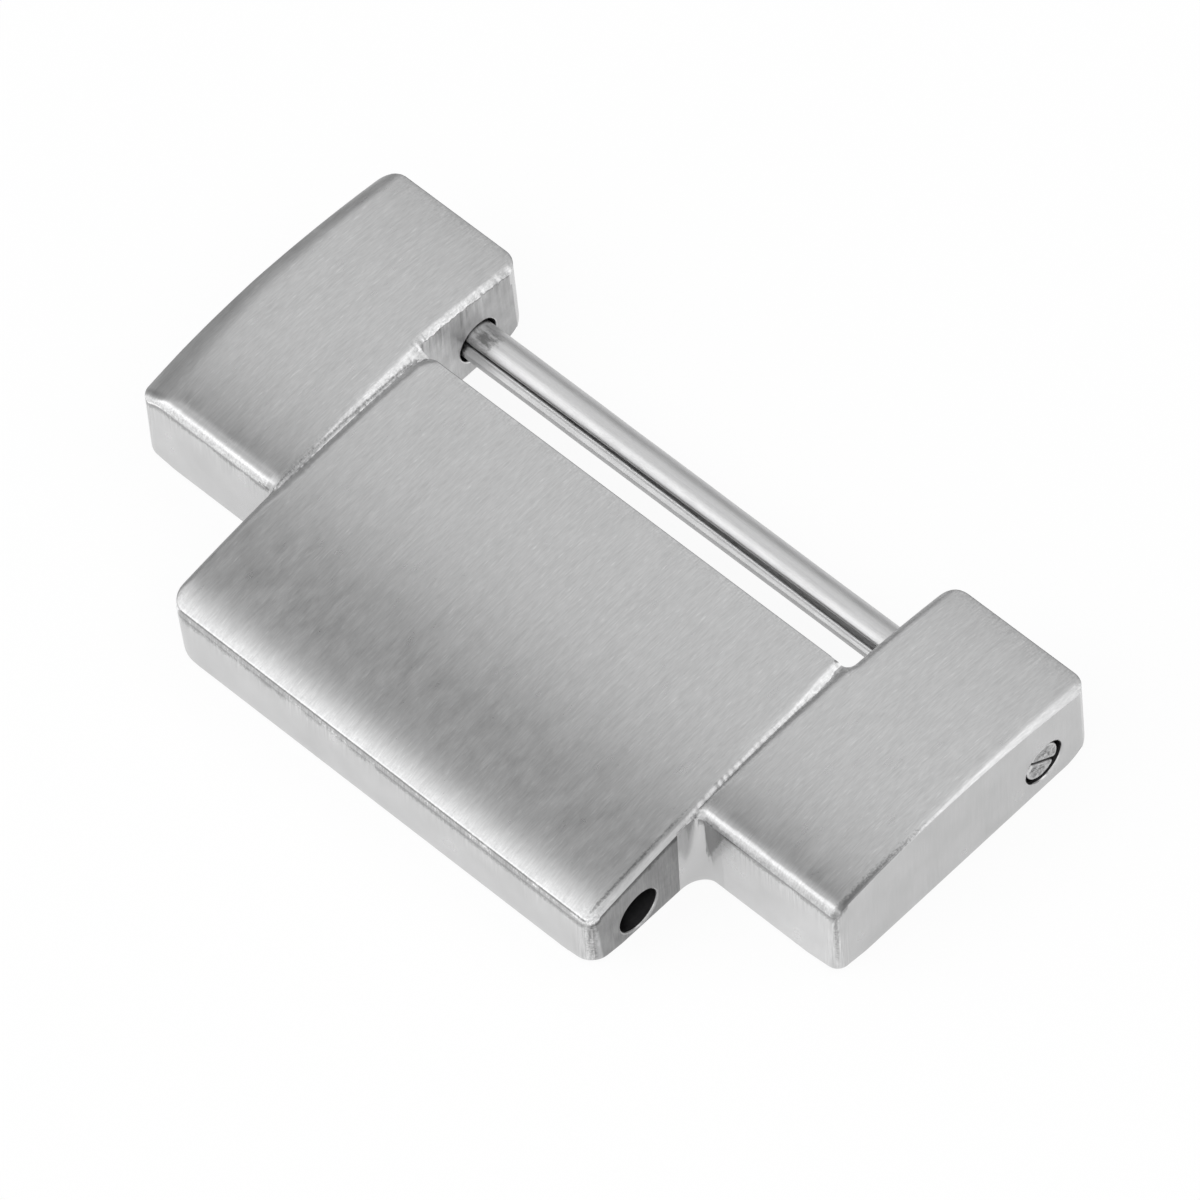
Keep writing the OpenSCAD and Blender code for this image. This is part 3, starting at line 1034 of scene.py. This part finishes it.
# Half-round section above the slot's middle plane, with rounded edges and, if it has a reach, a worn flat
def halfRound(gap, r, e, reach=0, lean=0):
    low = gap / 2
    wc = math.sqrt((r - e) ** 2 - (low + e) ** 2)
    turn = math.degrees(math.atan2(low + e, wc))
    if reach:
        end = math.radians(reach)
        top, left = r * math.sin(end), -r * math.cos(end)
        inward = left + (top - low - e) * math.tan(math.radians(lean))
        section = arcPoints(0, 0, r, r, turn, 180 - reach, 31)
        ways = np.linspace(0, 1, 7)[1:]
        section += [(left + (inward - left) * t, top + (low + e - top) * t) for t in ways]
        wl, leave = -inward - e * math.cos(math.radians(lean)), 180 + lean
    else:
        section = arcPoints(0, 0, r, r, turn, 180 - turn, 37)
        wl, leave = wc, 180 - turn
    section += arcPoints(-wl, low + e, e, e, leave, 270, 9)[1:]
    section += [(-wl + (wl + wc) * t, low) for t in np.linspace(0, 1, 9)[1:-1]]
    section += arcPoints(wc, low + e, e, e, -90, turn, 9)[:-1]
    return np.array(section)


# The wire's rows in order: along the upper leg from its tip, round the fold, and back along the lower leg
def pinRows():
    r, length = pinShape["radius"], pinShape["length"]
    straight = np.linspace(length - 0.2, r, 150)
    upper = [(length - depth, inset) for depth, inset in pinShape["tips"]] + [(x, 0.0) for x in straight]
    rows = [("leg", x, inset, 1) for x, inset in upper]
    rows += [("bend", math.radians(b), 0.0, 0) for b in np.linspace(0, 180, 27)[1:-1]]
    rows += [("leg", x, inset, -1) for x, inset in reversed(upper)]
    return rows


def bell(at, middle, width):
    return math.exp(-((at - middle) / width) ** 2)


def buildPin():
    s = pinShape
    r, length = s["radius"], s["length"]
    rows = pinRows()
    stations, widths = zip(*s["gap"])
    verts, maps, shadeAndGrime, drag = [], [], [], []
    for kind, at, inset, side in rows:
        if kind == "leg":
            wave = s["bow"] * wobble(at, 1.1, 21 + side) * (inset == 0)
            gap = np.interp(at, stations, widths)
            section = halfRound(gap, r + wave, s["edgeRound"][side], *s["worn"][side])
            middle = section.mean(0)
            nipped = middle + (section - middle) * (1 - inset)
            burr = 0.022 * (inset > 0.15) * wobble(np.arange(len(nipped)) + 40 * inset, 2.3, 31 + side)
            verts += [(at - abs(b), w, n * side) for (w, n), b in zip(nipped, burr)]
        else:
            share = (1 + math.cos(at)) / 2
            section = halfRound(widths[0], r, s["edgeRound"][1] * share + s["edgeRound"][-1] * (1 - share))
            verts += [(r - n * math.sin(at), w, n * math.cos(at)) for w, n in section]
        along = at if kind == "leg" else 0.0
        for i, (w, n) in enumerate(section):
            maps.append((i / len(section), along / 22.0))
            angle = math.atan2(n, w)
            patchy = 0.74 + 0.16 * wobble(along, 0.3, 41) + 0.16 * wobble(angle + along, 0.5, 43)
            stain = patchy * bell(along, *s["stainAlong"]) * bell(angle, *s["stainAround"]) * (side > 0)
            # Painted shade where the pin enters the ears
            nearWall = max(bell(along, *wall) for wall in s["wallShade"])
            # Painted shade on the flat faces inside the slot
            inner = 0.4 if n < 0.09 else 0.0
            shadeAndGrime.append(min(1, max(stain, 0.6 * nearWall, inner, 0.62 * (inset > 0.15))))
            nearTip = 0.7 * math.exp(-(length - along) / 0.4)
            drag.append(max(nearTip if kind == "leg" else 0.2, 0.15))
    tilt = math.radians(-s["tilt"])
    cos, sin = math.cos(tilt), math.sin(tilt)
    restY, restZ = link["earHoleY"] + s["lift"][0], link["earHoleZ"] + s["lift"][1]
    placed = [(x - length / 2, restY + w * cos - n * sin, restZ + w * sin + n * cos) for x, w, n in verts]
    pin = meshFrom("foldedPin", rowPoints(placed), tubeFaces(len(rows), len(section)))
    mesh = pin.data
    mesh.materials.append(drawnWire)
    # The draw map's U runs round the section, across the drawing scratches
    writeMaps(mesh, "drawMap", np.array(maps), {"edgeShadeAndGrime": shadeAndGrime, "edgeDrag": drag})
    for polygon in mesh.polygons:
        polygon.use_smooth = True
    mesh.set_sharp_from_angle(angle=math.radians(40))
    return pin


pin = buildPin()
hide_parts("split_pin")
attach(pin, "pin")
print("split pin done")


# Floor, cards and lights

studio = {
    "floorColour": (0.96, 0.96, 0.96),
    "floorGlow": 0.92,   # share of plain white that the camera sees in the floor
    "floorGlowMirrored": 0.50,   # the same share where metal mirrors it
    "worldDiffuse": 0.95,
    # Place, size and power of the lamps, which face the middle of the link
    "lamps": {
        "keySoftbox": ((-0.25, -0.40, 0.42), 0.60, 1.0),
        "fillSoftbox": ((0.30, 0.24, 0.46), 0.40, 0.32),
    },
    # Cards that only the metal mirrors: two opposite corners, in metres, and the grey
    "cards": {
        "overheadCard": ((-0.5, -0.003, 0.30), (0.5, 0.050, 0.30), 0.26),
        "sideCard": ((-0.35, -0.10, 0), (-0.35, 0.45, 0.12), 0.30),
        "leftCard": ((-0.351, -0.20, 0.01), (-0.351, 0.45, 0.29), 0.45),
        "backCard": ((-0.6, 0.5, 0), (0.6, 0.5, 0.42), 0.36),
        "frontCard": ((-0.5, -0.45, 0.01), (0.5, -0.45, 0.15), 1.28),
    },
}


def makeFloor():
    size = 3.0
    corners = [(-size, -size, 0), (size, -size, 0), (size, size, 0), (-size, size, 0)]
    floor = meshFrom("paleFloor", corners, [[0, 1, 2, 3]])
    floor.location.z = -0.00002
    material, tree, shader = newMaterial("paleFloorPaint")
    shader.inputs["Roughness"].default_value = 0.9
    shader.inputs["Specular IOR Level"].default_value = 0.0
    shader.inputs["Base Color"].default_value = (*studio["floorColour"], 1)
    # Seen by the camera, or mirrored in metal, the floor is nearly white and keeps a faint shadow
    nodes, links = tree.nodes, tree.links
    glow = nodes.new("ShaderNodeEmission")
    path = nodes.new("ShaderNodeLightPath")
    mirrored = mathNode(tree, "MAXIMUM", path.outputs["Is Glossy Ray"], path.outputs["Is Transmission Ray"])
    seenShare = mathNode(tree, "MULTIPLY", path.outputs["Is Camera Ray"], studio["floorGlow"])
    mirroredShare = mathNode(tree, "MULTIPLY", mirrored, studio["floorGlowMirrored"])
    mix = nodes.new("ShaderNodeMixShader")
    output = next(n for n in nodes if n.type == "OUTPUT_MATERIAL")
    links.new(mathNode(tree, "MAXIMUM", seenShare, mirroredShare), mix.inputs["Fac"])
    links.new(shader.outputs["BSDF"], mix.inputs[1])
    links.new(glow.outputs[0], mix.inputs[2])
    links.new(mix.outputs[0], output.inputs["Surface"])
    floor.data.materials.append(material)


def makeCard(name, near, far, grey):
    if near[2] == far[2]:
        corners = [near, (near[0], far[1], far[2]), far, (far[0], near[1], near[2])]
    else:
        corners = [near, (far[0], far[1], near[2]), far, (near[0], near[1], far[2])]
    card = meshFrom(name, corners, [[0, 1, 2, 3]])
    material, tree, glow = newMaterial(name + "Paint", "ShaderNodeEmission")
    glow.inputs["Color"].default_value = (grey, grey, grey, 1)
    card.data.materials.append(material)
    card.visible_camera = False
    card.visible_shadow = False


def makeLamp(name, at, size, power):
    lamp = bpy.data.lights.new(name, "AREA")
    lamp.shape = "SQUARE"
    lamp.size = size
    lamp.energy = power
    obj = addObject(name, lamp)
    obj.location = at
    obj.rotation_euler = (-Vector(at)).to_track_quat("-Z", "Y").to_euler()


def makeWorld():
    world = bpy.data.worlds.new("studioAir")
    world.use_nodes = True
    tree = world.node_tree
    nodes, links = tree.nodes, tree.links
    nodes.clear()
    path = nodes.new("ShaderNodeLightPath")
    mirrored = mathNode(tree, "MAXIMUM", path.outputs["Is Camera Ray"], path.outputs["Is Glossy Ray"])
    seen = mathNode(tree, "MAXIMUM", mirrored, path.outputs["Is Transmission Ray"])
    strength = nodes.new("ShaderNodeMapRange")
    strength.inputs["To Min"].default_value = studio["worldDiffuse"]
    strength.inputs["To Max"].default_value = 1.0
    links.new(seen, strength.inputs["Value"])
    air = nodes.new("ShaderNodeBackground")
    air.inputs["Color"].default_value = (1, 1, 1, 1)
    links.new(strength.outputs["Result"], air.inputs["Strength"])
    out = nodes.new("ShaderNodeOutputWorld")
    links.new(air.outputs[0], out.inputs["Surface"])
    bpy.context.scene.world = world


makeFloor()
for name, card in studio["cards"].items():
    makeCard(name, *card)
for name, lamp in studio["lamps"].items():
    makeLamp(name, *lamp)
makeWorld()
print("studio done")


# Camera at the photograph's angle, fitted to the object's edges

view = {
    "azimuth": 46.116,
    "elevation": 55.305,
    "roll": -3.5,
    "distance": 300.0,
    "lens": 391.47,
    "target": (0.0, 5.5, 1.0),
    "slide": (1.381, 0.731),
}


def makeCamera():
    az, el, roll = (math.radians(view[k]) for k in ("azimuth", "elevation", "roll"))
    back = Vector((math.sin(az) * math.cos(el), -math.cos(az) * math.cos(el), math.sin(el)))
    right = Vector((math.cos(az), math.sin(az), 0))
    up = back.cross(right)
    tx, ty, tz = view["target"]
    slideRight, slideUp = view["slide"]
    spot = Vector((tx, ty - midY, tz)) + back * view["distance"] + right * slideRight + up * slideUp
    turnedRight = right * math.cos(roll) + up * math.sin(roll)
    turnedUp = -right * math.sin(roll) + up * math.cos(roll)
    data = bpy.data.cameras.new("photoView")
    data.sensor_fit = "HORIZONTAL"
    data.sensor_width = 36
    data.lens = view["lens"]
    data.clip_start = 0.01
    data.clip_end = 20
    camera = addObject("photoView", data)
    turn = Matrix((turnedRight, turnedUp, back)).transposed()
    camera.matrix_world = Matrix.Translation(spot * mm) @ turn.to_4x4()
    bpy.context.scene.camera = camera


makeCamera()
bpy.context.scene.view_settings.view_transform = "Standard"
print("camera done")

bpy.context.view_layer.update()
